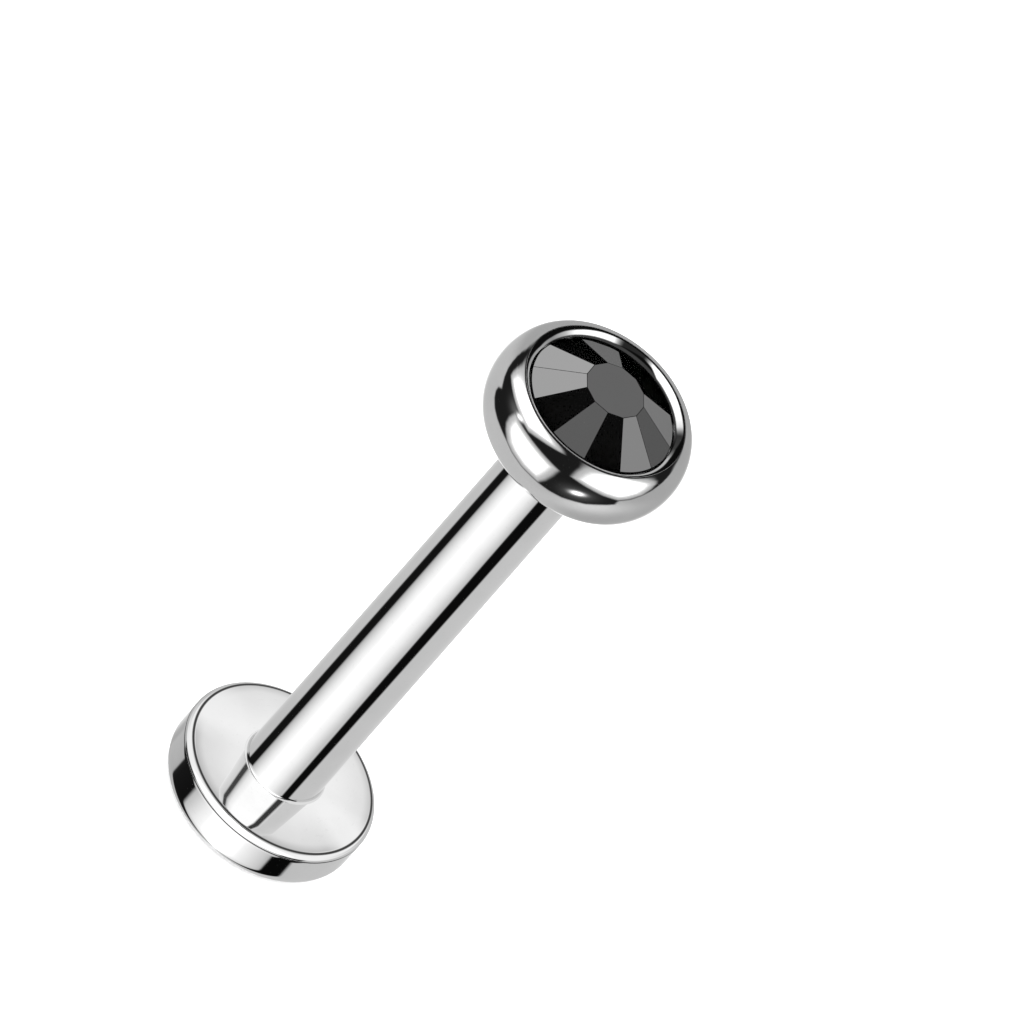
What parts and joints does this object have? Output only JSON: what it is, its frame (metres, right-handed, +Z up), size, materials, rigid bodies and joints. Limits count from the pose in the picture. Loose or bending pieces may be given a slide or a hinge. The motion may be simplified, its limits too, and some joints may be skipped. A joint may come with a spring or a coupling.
{
  "type": "labret stud",
  "caption": "Flat-backed piercing stud standing on its round disc, with a straight polished post and a rounded steel setting that holds a black faceted stone.",
  "frame": {"origin": "centre of the disc's flat back, on which the stud stands", "axes": "+Z up the post towards the stone; +X through an edge between two of the stone's crown facets"},
  "size_m": [0.003, 0.003, 0.0102],
  "materials": {
    "polished_steel": "mirror polished surgical steel",
    "setting_steel": "mirror polished surgical steel",
    "black_stone": "opaque black faceted glass, polished"
  },
  "bodies": {
    "root": {"post_with_disc": "polished_steel", "bezel_setting": "setting_steel", "crystal": "black_stone"}
  },
  "joints": []
}
